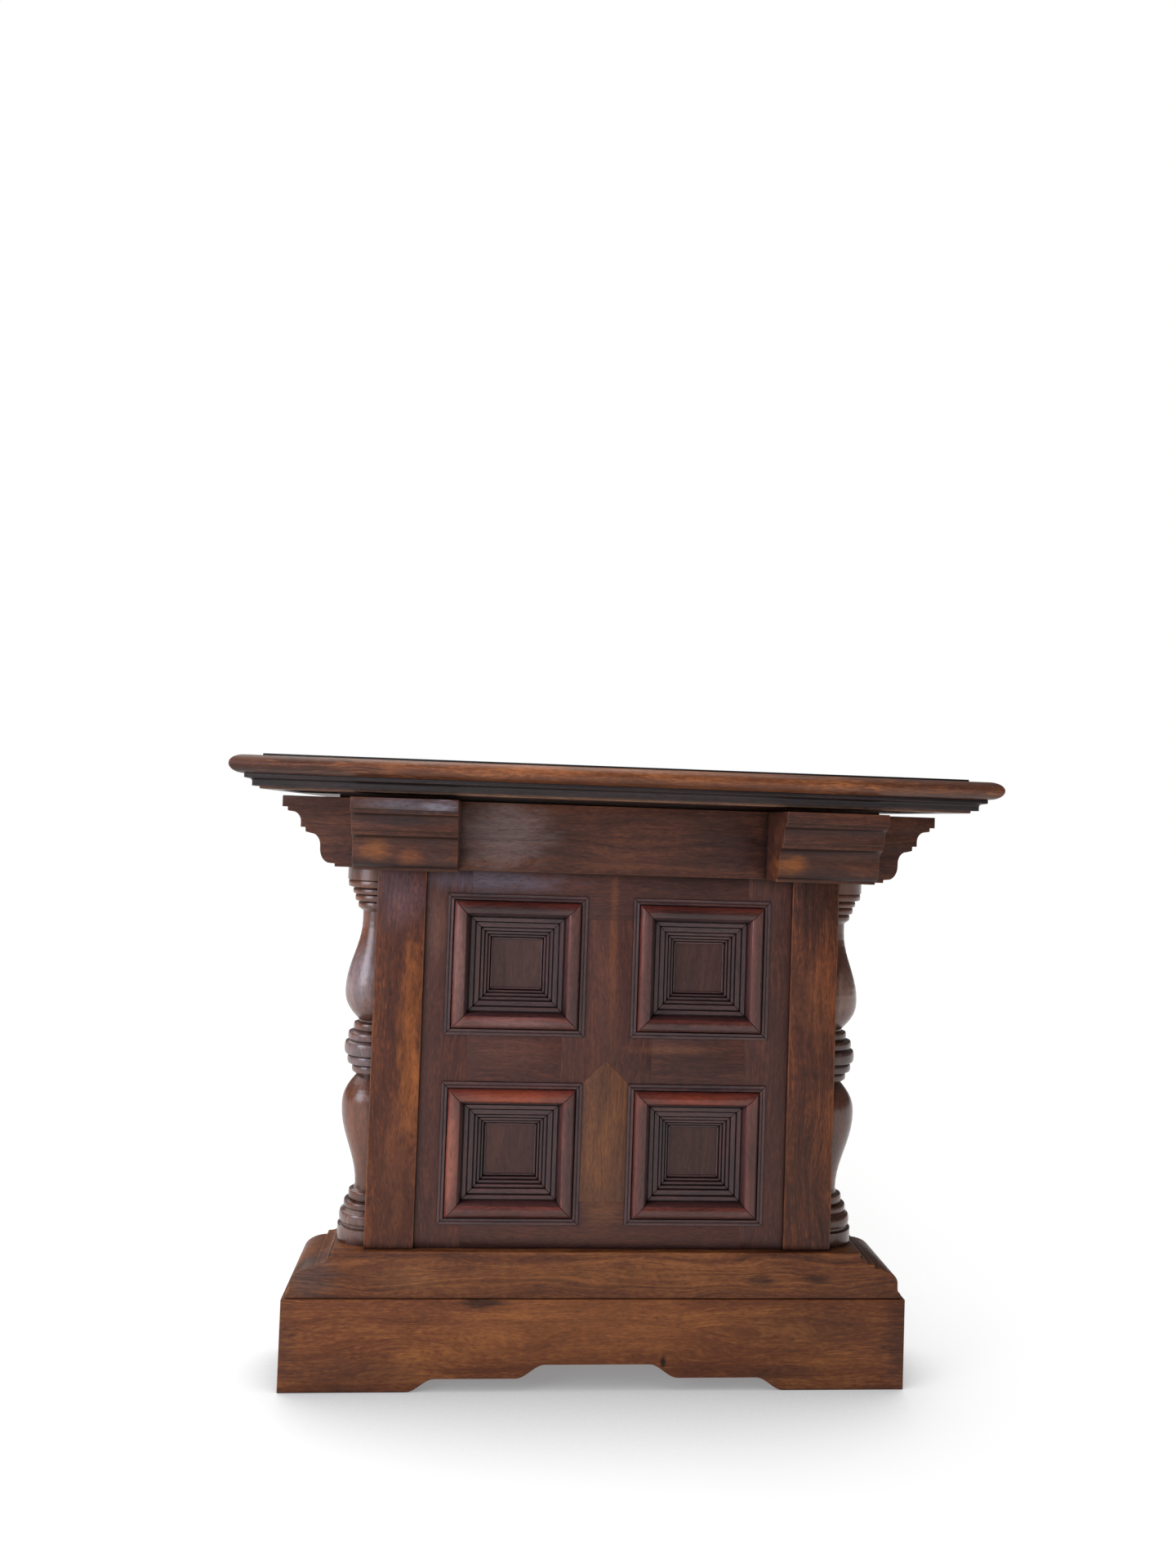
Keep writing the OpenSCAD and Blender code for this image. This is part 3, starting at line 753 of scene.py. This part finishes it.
# half columns: split turnings, the glossiest pieces
column = {
    "facets": 72,         # round the half turn
    "sharp": 40,          # degrees: a turn of the outline sharper than this is a crisp quirk
    "wood": {"mid": "#5f3727", "light": "#874d31", "dark": "#3f241b", "gloss": 0.5, "smooth": 0.24,
             "rough": 0.36, "coat": 0.22, "coatRoughness": 0.2, "wearAndHighlightAmount": 0.3},
    "lights": {
        "front_half_column_l": [
            # a warmer lower belly, a painted bluish highlight on the upper belly, painted sheen on the ring
            # and a paler band near the foot
            {"at": (4, 16, -114), "size": (60, 90, 75), "hex": "#713d20", "strength": 0.65},
            {"at": (-4, 16, 93), "size": (40, 90, 60), "hex": "#8d888e", "strength": 0.42},
            {"at": (-1, 16, -1), "size": (40, 90, 40), "hex": "#8a8084", "strength": 0.4},
            {"at": (1, 16, -209), "size": (40, 90, 30), "hex": "#8d7068", "strength": 0.5},
        ],
        "front_half_column_r": [
            # a painted highlight on the belly, a darker lower belly and painted sheen on the ring
            {"at": (9, 16, 88), "size": (60, 90, 45), "hex": "#97786a", "strength": 0.6},
            {"at": (9, 16, -79), "size": (60, 90, 60), "hex": "#4a2d20", "strength": 0.5},
            {"at": (4, 16, 1), "size": (50, 90, 34), "hex": "#453d40", "strength": 0.5},
        ],
    },
}


def outlineOf(node, axisX, axisY):
    # radius at each height of the turning, read from the CAD solid
    reach = {}
    for vertex in nodes[node].data.vertices:
        height = round(vertex.co.z, 5)
        reach[height] = max(reach.get(height, 0), math.hypot(vertex.co.x - axisX, vertex.co.y - axisY))
    return [Vector((reach[height], height)) for height in sorted(reach)]


def smoothLine(points, sharp, steps=3):
    # Hermite points between the given ones, straight on both sides of a sharp corner
    def corner(i):
        if i in (0, len(points) - 1):
            return True
        return (points[i] - points[i - 1]).angle(points[i + 1] - points[i]) > math.radians(sharp)
    out = []
    for i in range(len(points) - 1):
        p, q = points[i], points[i + 1]
        start = q - p if corner(i) else (q - points[i - 1]) / 2
        stop = q - p if corner(i + 1) else (points[i + 2] - p) / 2
        for step in range(steps):
            t = step / steps
            out.append(p * (2 * t**3 - 3 * t**2 + 1) + start * (t**3 - 2 * t**2 + t)
                       + q * (3 * t**2 - 2 * t**3) + stop * (t**3 - t**2))
    return out + [points[-1]]


def makeColumn(node, material):
    low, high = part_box(node)
    side = 1 if low.x > 0 else -1
    axisX = low.x if side > 0 else high.x
    axisY = (low.y + high.y) / 2
    facets = column["facets"]
    angles = [math.pi * (i / facets - 0.5) for i in range(facets + 1)]
    work = bmesh.new()
    rings = []
    for radius, height in smoothLine(outlineOf(node, axisX, axisY), column["sharp"]):
        rings.append([
            work.verts.new((axisX + side * radius * math.cos(a), axisY + radius * math.sin(a), height))
            for a in angles])
    for lower, upper in zip(rings, rings[1:]):
        for i in range(facets):
            work.faces.new((lower[i], lower[i + 1], upper[i + 1], upper[i]))
        work.faces.new((lower[-1], lower[0], upper[0], upper[-1]))
    work.faces.new(rings[0])
    work.faces.new(rings[-1])
    finishPiece(f"{node}_turned", work, [material], 0.0, node)


columnWood = walnut("columnWalnut", "z", spots=column["lights"], **column["wood"])
for node in bothEnds("half_column_l", "half_column_r"):
    makeColumn(node, columnWood)
print("half columns done")

# bearers and brackets: brown with a painted cool sheen on the upper left, painted shade in the coves and
# towards the right, orange on the coves
frieze = {
    "arris": 0.9,
    # painted shade: strong darkening of the hollows and of the faces that look down
    "wood": {"mid": "#523025", "light": "#744630", "dark": "#331e19", "grimeAndShadeReach": 14.0,
             "grimeAndShadeAmount": 0.95, "under": 0.8, "wearAndHighlightAmount": 0.7, "wearAndHighlightWidth": 2.0, "gloss": 0.19,
             "coat": 0.04},
    "stainsAndPaintedLight": {
        "front_bearer": [
            # painted sheen at the left of the bearer, painted shade at its right
            {"at": (-140, 0, 6), "size": (85, 40, 60), "hex": "#86706c", "strength": 0.7, "ragged": 0.8},
            {"at": (150, 0, 1), "size": (80, 40, 60), "hex": "#3a241f", "strength": 0.5},
        ],
        "front_bracket_l": [
            # painted sheen on the top tier, painted shade in the cove below it, the wood's own orange
            # patches, a painted reflection at the right of the top tier
            {"at": (2, 0, 34), "size": (75, 30, 10), "hex": "#6e6469", "strength": 0.8, "ragged": 0.5},
            {"at": (2, 5, 16), "size": (85, 40, 9), "hex": "#2c2123", "strength": 0.75, "ragged": 0.3},
            {"at": (-33, 41, -19), "size": (26, 60, 18), "hex": "#a0602f", "strength": 0.65, "ragged": 1.1},
            {"at": (6, 41, -26), "size": (22, 60, 16), "hex": "#8f5230", "strength": 0.55, "ragged": 1.1},
            {"at": (37, 0, 34), "size": (26, 30, 10), "hex": "#949099", "strength": 0.6, "ragged": 1.6},
            {"at": (38, 41, -19), "size": (26, 60, 22), "hex": "#453330", "strength": 0.5},
        ],
        "front_bracket_r": [
            # the wood's own orange patch, and painted shade in the cove below the top tier
            {"at": (-46, 41, -22), "size": (28, 50, 18), "hex": "#a35e2b", "strength": 0.7, "ragged": 1.2},
            {"at": (-5, 5, 17), "size": (80, 40, 9), "hex": "#4a281d", "strength": 0.45, "ragged": 0.3},
        ],
    },
}
friezeWood = walnut("friezeWalnut", "x", spots=frieze["stainsAndPaintedLight"], **frieze["wood"])
dressBoards(bothEnds("bearer", "bracket_l", "bracket_r"), friezeWood, frieze["arris"])

# carcase boards under the top: thinly polished, paler where the front board is worn
carcase = {
    "arris": 0.8,
    "boards": {
        "x": ("batten_front", "batten_back", "subframe_front", "subframe_back"),
        "y": ("subframe_left", "subframe_right", "stretcher", "top_panel"),
    },
    "wood": {"mid": "#4c3026", "light": "#6a432f", "dark": "#2f1f1b"},
    "worn": {
        "subframe_front": [
            {"at": (0, 0, 0), "size": (700, 12, 40), "hex": "#906952", "strength": 0.85},
        ],
    },
}
for grain, boards in carcase["boards"].items():
    carcaseWood = walnut("carcaseWalnut", grain, spots=carcase["worn"], **carcase["wood"])
    dressBoards(boards, carcaseWood, carcase["arris"])

sides = {"x": ("front", "back"), "y": ("left", "right")}    # of the top, by the run of their grain

# stepped moulding: walnut stained black, the stain thin on its edges
blackened = {
    "arris": 0.3,
    "wood": {"mid": "#302626", "light": "#423332", "dark": "#1f1919", "wearAndHighlight": "#5a3f34"},
}
for grain, pair in sides.items():
    blackenedWood = walnut("blackenedWalnut", grain, **blackened["wood"])
    dressBoards([f"moulding_{side}" for side in pair], blackenedWood,
                blackened["arris"])

# bullnose lipping: the warmest wood, bright along the middle and darker towards the corners, with painted
# shade on its faces that look down
lipping = {
    "arris": 0.4,
    "wood": {"mid": "#7d492c", "light": "#b77142", "dark": "#563120", "under": 0.5, "wearAndHighlightAmount": 0.3},
    "stainsAndPaintedLight": {
        "lipping_front": [
            {"at": (-430, 10, 0), "size": (260, 40, 40), "hex": "#3a1d14", "strength": 0.85},
            {"at": (400, 10, 0), "size": (170, 40, 40), "hex": "#482f29", "strength": 0.65},
        ],
    },
}
for grain, pair in sides.items():
    lippingWood = walnut("lippingWalnut", grain, spots=lipping["stainsAndPaintedLight"], **lipping["wood"])
    dressBoards([f"lipping_{side}" for side in pair], lippingWood, lipping["arris"])

covering = {
    "arris": 0.6,
    "pebble": 1.1,        # mm
    "crease": 24.0,       # mm
    "deep": "#151313",
    "worn": "#241f1e",
    "smooth": 0.38,
    "rough": 0.6,
    "gloss": 0.4,
    "bump": 0.15,         # mm
}
coveringHide = hide("waxedBlackHide", **covering)
finishPiece("top_field_hide", clean("top_field"), [coveringHide], covering["arris"],
            "top_field")
print("top done")
